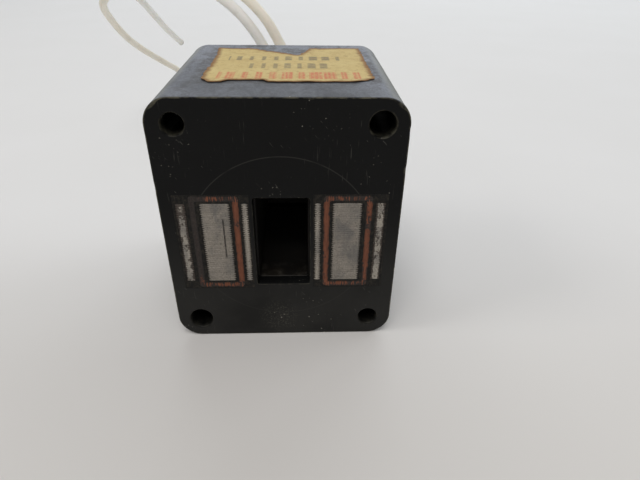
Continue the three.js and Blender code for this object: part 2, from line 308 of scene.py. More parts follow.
def at(points, y):
    """Points of the X and Z plane, stood at one Y."""
    return [(x, y, z) for x, z in points]


def moved(points, ways, reach):
    """Points moved along their ways by a reach."""
    return [p + way * reach for p, way in zip(points, ways)]


def circle(x, z, radius, count):
    return [(x + radius * math.cos(a), z + radius * math.sin(a)) for a in angles(count)]


TURNED_SIDES = 24


def turned(mesh, profile, x, z):
    """A wall round an axis along Y, from pairs of radius and Y."""
    return mesh.walls([at(circle(x, z, radius, TURNED_SIDES), y) for radius, y in profile])


# ---------------- materials


def rgb(code):
    """A linear colour from an sRGB hex code."""
    channels = [(code >> shift & 255) / 255 for shift in (16, 8, 0)]
    return [c / 12.92 if c <= 0.04045 else ((c + 0.055) / 1.055) ** 2.4 for c in channels] + [1]


def operation(name):
    """A method that adds a Math node to the nodes of a value."""
    return lambda value, other=0.0: value.look.math(name, value, other)


class Value:
    """A number that a material's nodes work out. Arithmetic on it adds nodes."""

    def __init__(self, look, socket):
        self.look = look
        self.socket = socket

    __add__ = operation("ADD")
    __sub__ = operation("SUBTRACT")
    __mul__ = operation("MULTIPLY")
    __truediv__ = operation("DIVIDE")
    __pow__ = operation("POWER")
    __abs__ = operation("ABSOLUTE")
    floor = operation("FLOOR")
    fraction = operation("FRACT")
    sine = operation("SINE")
    root = operation("SQRT")
    larger = operation("MAXIMUM")
    smaller = operation("MINIMUM")

    def __rsub__(self, other):
        return self.look.math("SUBTRACT", other, self)

    def step(self, low, high):
        """0 below low and 1 above high, with a smooth rise between; falls if high is below low."""
        made = self.look.node("MapRange", (0, self), (1, low), (2, high), interpolation_type="SMOOTHSTEP")
        return Value(self.look, made.outputs[0])

    def within(self, low, high, soft):
        return self.step(low - soft, low + soft) * self.step(high + soft, high - soft)

    def drawn(self):
        """A random number from 0 to 1 for each whole part of the value."""
        made = self.look.node("TexWhiteNoise", ("W", self.floor()), noise_dimensions="1D")
        return Value(self.look, made.outputs["Value"])


class Finish:
    """A procedural material. Its textures lie in the part's own frame, in millimetres."""

    def __init__(self, name, colour, **sockets):
        self.colour = colour
        self.material = bpy.data.materials.new(name)
        self.material.use_nodes = True
        self.tree = self.material.node_tree
        self.shader = self.tree.nodes["Principled BSDF"]
        for socket, value in sockets.items():
            self.shader.inputs[socket.replace("_", " ")].default_value = value
        self.place = self.vector("MULTIPLY", self.node("TexCoord").outputs["Object"], (1 / MM,) * 3)
        self.x, self.y, self.z = self.apart(self.place)
        normal = self.node("NewGeometry").outputs["Normal"]
        self.facing_x, self.facing_y, self.facing_z = self.apart(normal)

    def node(self, kind, *inputs, **settings):
        made = self.tree.nodes.new("ShaderNode" + kind)
        for key, value in settings.items():
            setattr(made, key, value)
        for socket, value in inputs:
            self.feed(made.inputs[socket], value)
        return made

    def feed(self, socket, value):
        value = value.socket if isinstance(value, Value) else value
        if isinstance(value, bpy.types.NodeSocket):
            self.tree.links.new(value, socket)
        else:
            socket.default_value = value

    def set(self, socket, value):
        self.feed(self.shader.inputs[socket], value)

    def vector(self, kind, a, b):
        return self.node("VectorMath", (0, a), (1, b), operation=kind).outputs["Vector"]

    def apart(self, vector):
        return [Value(self, part) for part in self.node("SeparateXYZ", (0, vector)).outputs]

    def math(self, kind, a, b):
        return Value(self, self.node("Math", (0, a), (1, b), operation=kind).outputs[0])

    def noise(self, size, detail=3.0, stretch=(1, 1, 1), rough=0.5, twist=0.0, place=None):
        """Noise from 0 to 1 with blots about size across, drawn out where stretch is small."""
        made = self.node(
            "TexNoise",
            ("Vector", self.vector("MULTIPLY", place or self.place, [s / size for s in stretch])),
            ("Scale", 1.0),
            ("Detail", detail),
            ("Roughness", rough),
            ("Distortion", twist),
        )
        return Value(self, made.outputs[0])

    def cells(self, size):
        """Distance to the nearest of scattered points, in millimetres, and a number for each."""
        place = self.vector("MULTIPLY", self.place, (1 / size,) * 3)
        made = self.node("TexVoronoi", ("Vector", place), ("Scale", 1.0))
        number = self.node("SeparateColor", (0, made.outputs["Color"])).outputs[0]
        return Value(self, made.outputs["Distance"]) * size, Value(self, number)

    def blot(self, x, z, reach):
        """1 at a place on the front, falling to 0 at its reach."""
        away = self.vector("SUBTRACT", self.place, (x, FRONT, z))
        length = self.node("VectorMath", (0, away), operation="LENGTH").outputs["Value"]
        return Value(self, length).step(reach, 0.0)

    def wear(self):
        return Value(self, self.node("Attribute", attribute_name="wear").outputs["Fac"])

    def mix(self, amount, a, b):
        made = self.node("Mix", data_type="RGBA")
        for index, value in ((0, amount), (6, a), (7, b)):
            self.feed(made.inputs[index], rgb(value) if isinstance(value, int) else value)
        return made.outputs[2]

    def paint(self, colour, amount):
        """A coat over what is there, as thick as the amount."""
        self.colour = self.mix(amount, self.colour, colour)

    def made(self, *heights):
        """The material with its colour, and bumps on bumps: each height with its depth."""
        self.set("Base Color", self.colour)
        normal = None
        for height, depth in heights:
            bump = self.node("Bump", ("Height", height), ("Distance", depth * MM), ("Strength", 1.0))
            if normal:
                self.feed(bump.inputs["Normal"], normal)
            normal = bump.outputs[0]
        self.set("Normal", normal)
        return self.material


def worn_metal(name, bright, dull, spots, smooth, rise, dents, depth):
    """Bare metal with duller, rougher spots; both noises are given by their size and detail."""
    look = Finish(name, bright, Metallic=1.0)
    spot = look.noise(*spots)
    look.paint(dull, spot)
    look.set("Roughness", spot * rise + smooth)
    return look.made((look.noise(*dents), depth))


# ---------------- camera and cords

camera_data = bpy.data.cameras.new("camera")
camera_data.lens = 27.203
camera_data.sensor_width = 36
camera_data.clip_start = 0.01
camera = stand("camera", camera_data)
camera.location = (0.004285, -0.113444, 0.083917)
camera.rotation_euler = [math.radians(angle) for angle in (57.5768, -0.7385, -2.0501)]
bpy.context.scene.camera = camera

# Leads, with their routes from the back of the block as the part has them
LEAD_X = {"left": -2.4, "right": 2.0}
LEAD_Z = 49.5
LEAD_RADIUS = 1.5
LEAD_START, LEAD_STEP = FRONT + 29.4, 1.0
LEAD_ROUTES = {
    "left": [
        (-2.8, 29.4, 50.1), (-4.1, 33.4, 52), (-6, 36.3, 54.9), (-8.3, 38, 58.3), (-11.2, 39.7, 61.8),
        (-14.3, 41.7, 64.6), (-18, 44.5, 67), (-24.2, 50, 70), (-32, 57, 72.2), (-41, 65.5, 73),
        (-50, 74, 72.6), (-57.5, 82, 70.9), (-63, 90.5, 68.7), (-66.2, 100, 66.8), (-67.2, 110, 64.1),
        (-66.6, 118.5, 61.1), (-65.5, 126.5, 57.2), (-64.3, 138.6, 49.9), (-62.2, 151.6, 41.3),
        (-59, 162.6, 33.7),
    ],
    "right": [
        (1.6, 29.4, 50.1), (0.6, 33.4, 52.1), (-1, 36.2, 55), (-2.9, 38, 58.4), (-5.2, 39.8, 61.8),
        (-7.8, 41.8, 64.6), (-11, 44.7, 67.1), (-16.6, 50, 70), (-24, 56.8, 72), (-33, 64.5, 72.2),
        (-43, 72.5, 70.8), (-53, 80, 68.6), (-62, 87.5, 65.8), (-69.4, 94.5, 62.4), (-74, 102, 58.4),
        (-76.4, 114, 51.8), (-76.4, 130.6, 41.5), (-73.8, 141, 34.6), (-68.6, 152.6, 26.8),
        (-62.4, 161.5, 19.8), (-56, 167, 13.4), (-49, 170, 7.8), (-41, 170.6, 3.6), (-33, 168.4, 1.8),
        (-25.5, 163.5, 1.6),
    ],
}
JACKET_COLOURS = {"left": (0xF7F6F2, 0xEDEBE4), "right": (0xF5F0E4, 0xEAE2D0)}
JACKET_SIDES = 20
BORE_DEPTH = 1.0
CORE_RADIUS = 0.85
STRANDS = 7
STRAND_RADIUS, STRAND_LENGTH = 0.27, 1.2
BOOT_RADIUS = limits("lead_boot_left")[1].z - LEAD_Z


def sleeving():
    look = Finish("sleeving", 0x2B2826, Roughness=0.55)
    look.paint(0x3E3936, look.noise(1.5, 4))
    return look.made((look.noise(0.4, 3), 0.02))


def lead_jacket(name, pale, stained):
    """Thin flexible jacket, slightly yellowed, with handling marks."""
    look = Finish(name, pale, Subsurface_Weight=0.15, Subsurface_Scale=0.002, Specular_IOR_Level=0.4)
    look.shader.inputs["Subsurface Radius"].default_value = (1.0, 0.8, 0.6)
    smudge = look.noise(3.5, 5, twist=0.6).step(0.52, 0.75)
    look.paint(stained, look.noise(14.0, 4))
    look.paint(0x8C8373, smudge * 0.14)
    look.paint(0x8B867C, look.wear() * 0.3)
    look.set("Roughness", smudge * 0.15 + 0.42)
    return look.made((look.noise(2.2, 2), 0.05), (look.noise(0.25, 3), 0.012))


def bare_copper():
    """Stranded copper, tarnished."""
    lay = (1, 1, 0.3)
    return worn_metal("bare_copper", 0xB57A55, 0x6B4331, (0.5, 3), 0.3, 0.3, (0.12, 2, lay), 0.01)


def sleeve(name, node, side, profile, bore):
    """A piece of sleeving round the line of a lead, with the radius and Y of its outside."""
    mesh = Mesh()
    inside = [(bore, y) for y in (profile[0][1], profile[-1][1])]
    mesh.close(*[turned(mesh, steps, LEAD_X[side], LEAD_Z) for steps in (profile, inside)])
    return mesh.piece(name, SLEEVING, node)


def lead_boot(side):
    """The tapered sleeve where a lead leaves the resin."""
    node = f"lead_boot_{side}"
    low, high = limits(node)
    taper = [(0, 1.2), (0.05, 0.8), (0.13, 0.3), (0.2, 0.1), (0.27, 0)]
    profile = [(BOOT_RADIUS - 0.1, low.y), (BOOT_RADIUS, low.y + 0.2)]
    profile += [(BOOT_RADIUS - thinner, high.y - back) for thinner, back in taper]
    return sleeve(f"boot_taper_{side}", node, side, profile, LEAD_RADIUS + TOUCH)


def jacket(side, path):
    """A lead's insulation, hollow at its cut end."""
    last = len(path) - 1
    pair = across_path(path)[-1]
    along = (path[-1] - path[-2]).normalized()
    mesh = Mesh()

    def radius_at(i, angle):
        return LEAD_RADIUS * (0.99 + 0.02 * wobble(*path[i], 5.0, angle))

    rings = tube(mesh, path, radius_at, JACKET_SIDES, lambda i: max(0.0, 1 - (last - i) / 3))
    for radius, inside in ((LEAD_RADIUS * 0.94, -0.05), (CORE_RADIUS, 0.0), (CORE_RADIUS, BORE_DEPTH)):
        points = hoop(path[-1] - along * inside, pair, lambda a: radius, JACKET_SIDES)
        rings.append(mesh.ring(points, 1.0))
    mesh.fill(rings[0])
    mesh.bands(rings)
    floor, centre = rings[-1], mesh.ring([path[-1] - along * BORE_DEPTH])[0]
    mesh.faces += [(floor[i - 1], floor[i], centre) for i in range(JACKET_SIDES)]
    material = lead_jacket(f"lead_jacket_{side}", *JACKET_COLOURS[side])
    return mesh.piece(f"lead_{side}_jacket", material, f"lead_{side}")


def strands(side, path):
    """The copper core that shows at the cut end: strands round one in the middle, a little splayed."""
    u, v = across_path(path)[-1]
    along = (path[-1] - path[-2]).normalized()
    buried, splay = 0.9, 0.08
    mesh = Mesh()
    for k in range(STRANDS):
        turn = 2 * math.pi * k / (STRANDS - 1)
        away = 0.0 if k == STRANDS - 1 else 2 * STRAND_RADIUS
        outwards = (u * math.cos(turn) + v * math.sin(turn)) * away
        root = path[-1] + outwards - along * buried
        tip = root + along * (buried + STRAND_LENGTH * (0.75 + 0.1 * (k % 3)))
        strand = [root.lerp(tip, t) + outwards * splay * t * t for t in spaced(0, 1, 4)]
        rings = tube(mesh, strand, lambda i, a: STRAND_RADIUS * (0.96 if i < 4 else 0.7), 8)
        mesh.bands(rings)
        mesh.close(rings)
    return mesh.piece(f"lead_{side}_core", bare_copper())


def lead(side):
    """One lead along its route, with the boot that it leaves the resin through."""
    x = LEAD_X[side]
    straight = [(x, y, LEAD_Z) for y in spaced(LEAD_START, RESIN_BACK, 2)]
    path = curve_through(straight + LEAD_ROUTES[side], LEAD_STEP)
    jacket(side, path)
    length_of(path) * MM
    [point * MM for point in path]
    strands(side, path)
    lead_boot(side)


SLEEVING = sleeving()
for side in SIDES:
    lead(side)


# ---------------- light and floor


# In metres, as the lights' places and sizes are
BLOCK_MIDDLE = (0, 0, 0.03)


def area_light(name, place, size, power, colour):
    """A rectangular light that is aimed at the block."""
    data = bpy.data.lights.new(name, "AREA")
    data.shape = "RECTANGLE"
    data.size, data.size_y = size
    data.energy = power
    data.color = colour
    light = stand(name, data)
    light.location = place
    aim = Vector(BLOCK_MIDDLE) - Vector(place)
    light.rotation_euler = aim.to_track_quat("-Z", "Y").to_euler()
    light.visible_camera = False


def studio():
    """A wide window behind, a lamp overhead, a key from the left and a fill from the right."""
    scene = bpy.context.scene
    scene.view_settings.view_transform = "Standard"
    scene.world = bpy.data.worlds.new("room")
    scene.world.use_nodes = True
    room = scene.world.node_tree.nodes["Background"]
    room.inputs["Color"].default_value = (0.86, 0.84, 0.82, 1)
    room.inputs["Strength"].default_value = 0.28
    area_light("window", (0.1, 1.1, 0.75), (1.6, 1.0), 7.4, (0.92, 0.97, 1.0))
    area_light("lamp", (-0.1, -0.6, 1.3), (0.8, 0.8), 7.8, (1.0, 0.97, 0.94))
    area_light("key", (-1.2, -0.25, 1.0), (0.5, 0.5), 4.0, (1.0, 0.98, 0.95))
    area_light("side", (1.0, 0.4, 0.7), (0.6, 0.6), 2.2, (0.95, 0.98, 1.0))


def table():
    """A plain pale table, with painted shade that makes it a little darker and warmer in front."""
    look = Finish("table", 0xE6E6E6, Roughness=0.75, Specular_IOR_Level=0.2)
    look.paint(0xEAEAEB, look.noise(60.0, 3))
    # Painted shade: darker and warmer towards the front
    look.paint(0xC4BEB6, look.y.step(40, -70) * 0.4)
    half = 1600.0
    mesh = Mesh()
    mesh.faces.append(mesh.ring([(x, y, 0) for x, y in rectangle((-half, half), (-half, half))]))
    stand("table", mesh.data("table", look.made((look.noise(1.5, 3), 0.01))))


studio()
table()


# ---------------- moulded case

SCREW_HOLES = [
    (sx * SCREW_X, HEIGHT / 2 + sz * SCREW_Z, WIDE_HOLE if sx * sz > 0 else NARROW_HOLE)
    for sx in (-1, 1)
    for sz in (-1, 1)
]
WINDOWS = {
    side: rectangle(across(sign, WINDOW_NEAR, WIDE[0] - TOUCH), about(PLUNGER_Z, WINDOW_HALF_HEIGHT))
    for side, sign in SIDES.items()
}

# Chips along the front edge: place in X and Z, reach and depth
CHIPS = [
    (-23.2, 57.0, 1.6, 0.5), (23.2, 57.1, 1.8, 0.55), (25.4, 51.7, 0.9, 0.35),
    (25.4, 43.7, 1.2, 0.3), (6.5, 58.4, 0.8, 0.25), (-25.4, 40.0, 1.0, 0.2),
]

# A ring this far outside each bevel keeps the flat face's shading flat
SUPPORT = 0.15

# Along a screw bore: Y, how far the wall is drawn out, and wear
BORE_PROFILE = [
    (FRONT, 0.34 + SUPPORT, 0.0), (FRONT, 0.34, 0.0), (FRONT + 0.1, 0.2, 0.5), (FRONT + 0.35, 0.02, 0.4),
    (FRONT + 1.2, 0.0, 0.3), (FRONT + 4, 0.0, 0.0), (0.0, -0.02, 0.0), (BACK - 0.6, 0.0, 0.3),
    (BACK - 0.15, 0.1, 1.0), (BACK, 0.25, 0.0), (BACK, 0.25 + SUPPORT, 0.0),
]


def cavity_outline(spacing):
    """The cavity's outline with its corners rounded, and the way in at each point."""
    (tall, bottom, top), (wide, low, high) = TALL, WIDE
    right = [(tall, bottom), (tall, low), (wide, low), (wide, high), (tall, high), (tall, top)]
    left = [(-x, z) for x, z in right[::-1]]
    return rounded([left[-1], *right, *left[:-1]], CAVITY_CORNER, 5, spacing)


def edge_width(x, z, y):
    """How wide the rounding of the case's outer edge is, chips included."""
    width = 0.3 + 0.06 * wobble(x, y, z, 2.5) + 0.03 * wobble(x, y, z, 0.7, 3.1)
    for chip_x, chip_z, reach, depth in CHIPS if y < 0 else []:
        away = math.hypot(x - chip_x, z - chip_z) / reach
        width += depth * max(0.0, 1 - away * away)
    return width


def case_edge(mesh, outline, ways, y, inside):
    """Rings over the outer edge at one end, from the side to the face."""
    widths = [edge_width(x, z, y) for x, z in outline]
    rings = []
    for degrees in (0, 25, 50, 75, 90):
        a = math.radians(degrees)
        points = []
        for p, way, width in zip(outline, ways, widths):
            x, z = p + way * width * (1 - math.cos(a))
            points.append((x, y + inside * width * (1 - math.sin(a)), z))
        rings.append(mesh.ring(points, 1.0 if 0 < degrees < 90 else 0.0))
    flat = [p + way * (width + SUPPORT) for p, way, width in zip(outline, ways, widths)]
    return [*rings, mesh.ring(at(flat, y))]


def case_side(mesh, outline, ways, y):
    """A ring round the case's sides, which are sunk a little in places."""
    points = []
    for p, way in zip(outline, ways):
        sink = 0.05 * (1 + wobble(p.x, y, p.y, 14.0, 1.7)) if p.y > 1 else 0.0
        points.append(p + way * sink)
    return mesh.ring(at(points, y))


def screw_bore(mesh, x, z, radius):
    """The first and last ring of a bore that is flared and worn at its ends."""
    rings = []
    for y, flare, wear in BORE_PROFILE:
        points = []
        for px, pz in circle(x, z, 1.0, 40):
            reach = radius + flare * (1 + 0.25 * wobble(px * 3, y, pz * 3, 1.0, x))
            points.append((x + (px - x) * reach, y, z + (pz - z) * reach))
        rings.append(mesh.ring(points, wear if z > HEIGHT / 2 or y > 0 else 0.4 * wear))
    mesh.bands(rings)
    return rings[0], rings[-1]


def wall_opening(mesh, corners, radius, flare, wear):
    """The first and last ring of an opening through the front wall."""
    points, ways = rounded(corners, radius, 6, 0.8)
    rings = []
    for wide, deep in ((flare + SUPPORT, 0), (flare, 0), (0.4 * flare, 0.4 * flare), (0, flare)):
        grown = [p - way * wide * (1 + 0.5 * wobble(p.x, 0, p.y, 1.1)) for p, way in zip(points, ways)]
        rings.append(mesh.ring(at(grown, FRONT + deep), wear if 0 < deep < flare else 0.0))
    rings.append(mesh.ring(at(points, FRONT + FRONT_WALL)))
    mesh.bands(rings)
    return rings[0], rings[-1]


def case_shell():
    """The moulded case: worn outer edges, flared openings, screw bores and the cavity."""
    mesh = Mesh()
    outline, ways = rounded(rectangle((-HALF_WIDTH, HALF_WIDTH), (0, HEIGHT)), CORNER_RADIUS, 16, 0.9)
    front_edge = case_edge(mesh, outline, ways, FRONT, 1)
    back_edge = case_edge(mesh, outline, ways, BACK, -1)
    sides = [case_side(mesh, outline, ways, y) for y in spaced(FRONT + 1.2, BACK - 1.2, 12)]
    mesh.bands([*front_edge[::-1], *sides, *back_edge])

    bores = [screw_bore(mesh, *hole) for hole in SCREW_HOLES]
    openings = [wall_opening(mesh, round_plunger(MOUTH), MOUTH_CORNER, 0.2, 0.5)]
    openings += [wall_opening(mesh, window, WINDOW_CORNER, 0.03, 0.0) for window in WINDOWS.values()]

    cavity, ways = cavity_outline(1.5)
    steps = [(0, FRONT + FRONT_WALL, 0), (0, BACK - 0.25, 0.2), (0.1, BACK - 0.08, 0.9)]
    steps += [(0.22, BACK, 0), (0.22 + SUPPORT, BACK, 0)]
    walls = [mesh.ring(at(moved(cavity, ways, -flare), y), wear) for flare, y, wear in steps]
    mesh.bands(walls)
    mesh.fill(front_edge[-1], [rings[0] for rings in bores + openings])
    mesh.fill(walls[0], [rings[-1] for rings in openings])
    mesh.fill(back_edge[-1], [*[rings[-1] for rings in bores], walls[-1]])
    mesh.piece("case_shell", black_resin(), "moulded_case")


def black_resin():
    """Black moulding resin: fine grain, dust and a painted sheen on top, painted bounce light low down, a
    painted highlight on the top corners, scratches, specks and pale worn edges.
    """
    look = Finish("black_resin", 0x0A0A0B, Specular_IOR_Level=0.14)
    cloud = look.noise(9.0, 4, twist=0.4)
    look.paint(0x121313, cloud)
    # Painted bounce light: the sides and front are a little lighter towards the bottom, in patches
    painted_low_bounce = look.z.step(40, 4) * look.noise(14.0, 4).step(0.0, 0.7) * look.facing_z.step(0.5, 0.1)
    look.paint(0x8C8A84, painted_low_bounce * 0.08)

    # Dust on top, with a painted bluish sheen that is lighter to the back and the sides; wiped and
    # smeared in places
    outside = look.z.step(HEIGHT - 6, HEIGHT - 3)
    upward = look.facing_z.step(0.6, 0.98) * outside
    film = look.noise(6.0, 7, (1, 0.6, 1), 0.7, 0.8).step(0.32, 0.68)
    wiped = look.noise(2.4, 4, (1.0, 0.35, 1.0), 0.6, 0.6).step(0.5, 0.7)
    dust_and_sheen = upward * (1 - wiped * 0.5)
    amount = film * 0.24 + look.x.step(8, 24) * 0.18 + abs(look.x).step(12, 24) * 0.22
    look.paint(0x8F949F, dust_and_sheen * (amount + look.y.step(-8, 22) * 0.42 + 0.29))
    smear = upward * look.noise(5.0, 6, (0.7, 1.4, 1), 0.7, 1.0).step(0.54, 0.68)
    look.paint(0x3A332B, smear * 0.32)
    look.paint(0x2B2C2E, upward * look.noise(0.5, 4, rough=0.8).step(0.42, 0.62) * 0.3)

    # Old glue round the label
    by_label = look.x.within(label_low.x - 1.6, label_high.x + 1.6, 0.8)
    by_label = by_label * look.y.within(label_low.y - 0.6, label_high.y + 0.5, 0.6)
    look.paint(0x39342D, by_label * look.noise(1.6, 5, rough=0.65).step(0.4, 0.58) * upward * 0.5)

    # The rounded corners beside the top: a painted highlight, patchy like rubbed wear
    corner = abs(look.facing_x).within(0.3, 0.85, 0.15) * abs(look.facing_y).step(0.4, 0.2) * outside
    look.paint(0x9EA19B, corner * look.noise(4.0, 5, (1, 0.4, 1), 0.6).step(0.15, 0.6) * 0.5)

    # Scratches: upright scuffs in patches, and a few long fine ones that lean
    patch = look.noise(8.0, 2) + look.blot(12.5, 46, 8) * 0.24 + look.blot(-13.6, 46, 4) * 0.22
    patch = (patch + look.blot(17.5, 42, 4) * 0.2).step(0.5, 0.62)
    scuff = look.noise(0.3, 2, (1, 1, 0.06)).step(0.63, 0.74)
    lean = ("Rotation", (0.2, 0.65, 0.3))
    leaning = look.node("VectorRotate", (0, look.place), lean, rotation_type="EULER_XYZ").outputs[0]
    hair = look.noise(1.0, 1.0, (3.0, 3.0, 0.05), place=leaning).step(0.72, 0.76)
    scratch = (patch * scuff * 0.6).larger(hair * look.noise(12.0, 1).step(0.48, 0.6))

    # The circle that something round has left on the front face
    radius = (look.x**2.0 + (look.z - (PLUNGER_Z + 0.4)) ** 2.0).root()
    on_front = look.facing_y.step(-0.9, -0.98)
    mark = radius.within(19.8, 20.0, 0.08) * look.noise(5.0, 3).step(0.2, 0.5)
    mark = mark * (look.z.step(PLUNGER_Z - 6, PLUNGER_Z + 6) * 0.65 + 0.35) * on_front
    scratch = scratch.larger(mark * 0.45)

    # Specks and powder of dust, and wear
    distance, number = look.cells(0.75)
    distance = distance + (look.noise(0.25, 2) - 0.5) * 0.5
    crowd = look.noise(9.0, 2) + look.blot(4.4, 56.5, 7) * 0.35 + look.blot(-1.3, 5.5, 7) * 0.4
    speck = distance.step(0.16, 0.05) * number.step(0.76, 0.8) * crowd.step(0.52, 0.7)
    powder = look.noise(0.35, 3, rough=0.8).step(0.52, 0.68) * look.blot(-1.3, 5.8, 6.5).step(0.0, 0.6)
    worn = look.wear() * look.noise(1.3, 5).step(0.32, 0.66)
    look.paint(0xB0AC98, powder * on_front * 0.12)
    look.paint(0x9A9890, scratch * 0.16)
    look.paint(0xB0ACA0, speck * 0.45)
    look.paint(0x8A8672, worn * 0.36)
    look.set("Roughness", cloud * 0.12 + dust_and_sheen * 0.15 + worn * 0.2 + 0.36)
    return look.made((cloud, 0.05), (look.noise(0.35, 4), 0.012), (1 - scratch, 0.01))


case_shell()


# ---------------- laminated stack

STAGGER, EDGE_SCATTER = 0.03, 0.06
SHEET_CORNER = 0.08
GOUGE_X, GOUGE_LOW, GOUGE_HIGH = -12.4, 23.0, 32.5
GOUGE_HALF_WIDTH = 0.14


def punched_edges():
    """How far out each edge of the poles lies, sheet by sheet; every second sheet is turned over."""
    draw = random.Random(7)
    rows = []
    for i in range(SHEETS):
        shift = STAGGER if i % 2 else -STAGGER
        row = {}
        for side, sign in SIDES.items():
            steps = [POLE_TIP, *INNER_SLOT, *OUTER_SLOT]
            row[side] = [x + sign * shift + draw.uniform(-EDGE_SCATTER, EDGE_SCATTER) for x in steps]
            row[side].append(STACK_HALF_WIDTH - draw.uniform(0, 3 * EDGE_SCATTER))
        rows.append(row)
    return rows


EDGES = punched_edges()


def sheet_outline(i, face):
    """One lamination's outline in X and Y, with its pole faces at Y = face."""
    floor, lip, yoke = face + SLOT_DEPTH, FRONT + LIP_DEPTH, STACK_BACK - YOKE_DEPTH
    halves = []
    for side, sign in SIDES.items():
        tip, slot_in, slot_out, outer_in, outer_out, edge = EDGES[i][side]
        half = [
            (edge, face), (outer_out, face), (outer_out, floor), (outer_in, floor), (outer_in, face),
            (slot_out, face), (slot_out, floor), (slot_in, floor), (slot_in, face),
            (tip, face), (tip, lip), (COIL_BAY, lip), (COIL_BAY, yoke),
        ]
        halves.append([(sign * x, y) for x, y in half])
    left, right = halves
    middle = sheet_low.z + i * SHEET_PITCH + SHEET_THICKNESS / 2
    if GOUGE_LOW < middle < GOUGE_HIGH:
        near, far = about(GOUGE_X, GOUGE_HALF_WIDTH)
        depth = 0.3 + 0.1 * wobble(0, 0, middle, 1.5)
        left[5:5] = [(near, face), (GOUGE_X, face + depth), (far, face)]
    return left + right[::-1] + [(STACK_HALF_WIDTH, STACK_BACK), (-STACK_HALF_WIDTH, STACK_BACK)]


def laminations():
    """Each punched sheet with its burred edges, rivet holes and slightly uneven pole faces."""
    steel = silicon_steel()
    draw = random.Random(11)
    burr = 0.025
    places = [(x, y) for x in (-RIVET_X, RIVET_X) for y in RIVET_PLACES]
    for i in range(SHEETS):
        mesh = Mesh()
        outline = sheet_outline(i, FRONT + draw.uniform(0.0, 0.015))
        points, ways = rounded(outline, SHEET_CORNER, 1, parts=1)
        low = sheet_low.z + i * SHEET_PITCH
        levels = []
        for up, inset in ((0, burr), (burr, 0), (SHEET_THICKNESS - burr, 0), (SHEET_THICKNESS, burr)):
            flat = [moved(points, ways, inset)]
            flat += [circle(x, y, RIVET_HOLE + inset, 16) for x, y in places]
            levels.append([[(x, y, low + up) for x, y in loop] for loop in flat])
        mesh.close(*[mesh.walls(loops) for loops in zip(*levels)])
        mesh.piece(f"sheet_{i + 1:02d}", steel, f"lamination_{i + 1:02d}", 25)


def silicon_steel():
    """Ground edges of the sheets: each a little different, with pits, smears, rust and dirt."""
    look = Finish("silicon_steel", 0x958F86)
    count = (look.z - sheet_low.z) / SHEET_PITCH
    outwards = abs(look.x)
    brushed = look.noise(0.22, 3, (1, 1, 0.12))
    smear = look.noise(3.2, 3, (1, 1, 0.6), twist=0.5).step(0.42, 0.72)
    narrow = outwards.step(INNER_SLOT[0], POLE_TIP).larger(outwards.step(19.8, 20.0))
    speckle = look.noise(0.4, 5, (1, 1, 0.8), rough=0.75)
    look.paint(0x9F9990, count.drawn())
    look.paint(0xC6BFB3, narrow * 0.8)
    look.paint(0x7F7972, brushed * 0.5)
    look.paint(0x57524B, speckle.step(0.5, 0.68) * 0.55)
    look.paint(0xC4BDB1, speckle.step(0.46, 0.3) * 0.45)
    look.paint(0x6A6A6C, smear * 0.55)

    # Resin between the sheets: a fine line over the pole, wider where the edges are rounded off
    nearest = abs(outwards - POLE_TIP)
    for edge in (*INNER_SLOT, *OUTER_SLOT, STACK_HALF_WIDTH):
        nearest = nearest.smaller(abs(outwards - edge))
    near_edge = nearest.step(0.6, 0.1)
    reach = 0.45 - near_edge * 0.3 - look.noise(0.6, 3) * 0.08
    line = (abs(count.fraction() - 0.47) - reach).step(0.0, 0.08)
    look.paint(0x1C1A18, line * (near_edge * 0.58 + 0.24))

    # Pits, the gouge, and dirt, most of it by the edges and on the outer strips
    distance, number = look.cells(0.75)
    gouge = abs(look.x - GOUGE_X).step(0.2, 0.1) * look.z.within(GOUGE_LOW, GOUGE_HIGH, 0.5)
    gouge = gouge * look.noise(1.6, 3).step(0.36, 0.5)
    pits = (distance.step(0.14, 0.07) * number.step(0.8, 0.84)).larger(gouge)
    on_strips = outwards.step(19.0, 19.8)
    left_top = look.x.step(-19, -20) * look.z.step(PLUNGER_Z + 4, PLUNGER_Z + 10)
    threshold = 0.7 - on_strips * 0.15 - near_edge * (on_strips * 0.15 + 0.05) - left_top * 0.13
    dirt = (look.noise(0.75, 5, (1, 1, 0.7), 0.7, 0.6) - threshold).step(-0.03, 0.05)
    look.paint(look.mix(look.noise(0.8, 3), 0x1F1B18, 0x403026), dirt * 0.85)
    look.paint(0x2A2624, pits * 0.8)

    # Varnish and dust on the steel away from the pole faces
    varnish = look.y.step(FRONT + 1, FRONT + 5)
    look.paint(0x34312E, varnish * 0.95)
    grime = dirt.larger(pits).larger(varnish)
    look.set("Metallic", 0.9 - grime * 0.8)
    look.set("Roughness", smear * 0.12 + grime * 0.25 + 0.42)
    return look.made((brushed, 0.008), (1 - grime, 0.02))


laminations()


# ---------------- rings and potting

RING_BAR = 1.25
RING_CORNER, RING_INNER_CORNER = 0.9, 0.25
RESIN_SHY = 0.025
BUBBLES = 9
RESIN_MARGIN = 1.5


def uneven(points, size, depth, seed):
    """The same outline, wandering a little."""
    return [p + depth * Vector([wobble(p.x, y, p.y, size, seed) for y in (0, 9)]) for p in points]


def ring_outlines(side):
    """The outer and inner outline of one shading ring's face."""
    sign = SIDES[side]

    def outline(inset, radius, steps):
        x = across(sign, ring_low.x + inset, ring_high.x - inset)
        return rounded(rectangle(x, (ring_low.z + inset, ring_high.z - inset)), radius, steps, 0.3)[0]

    outer = uneven(outline(0, RING_CORNER, 6), 1.1, 0.14, sign)
    return outer, uneven(outline(RING_BAR, RING_INNER_CORNER, 3), 1.3, 0.12, sign + 5)


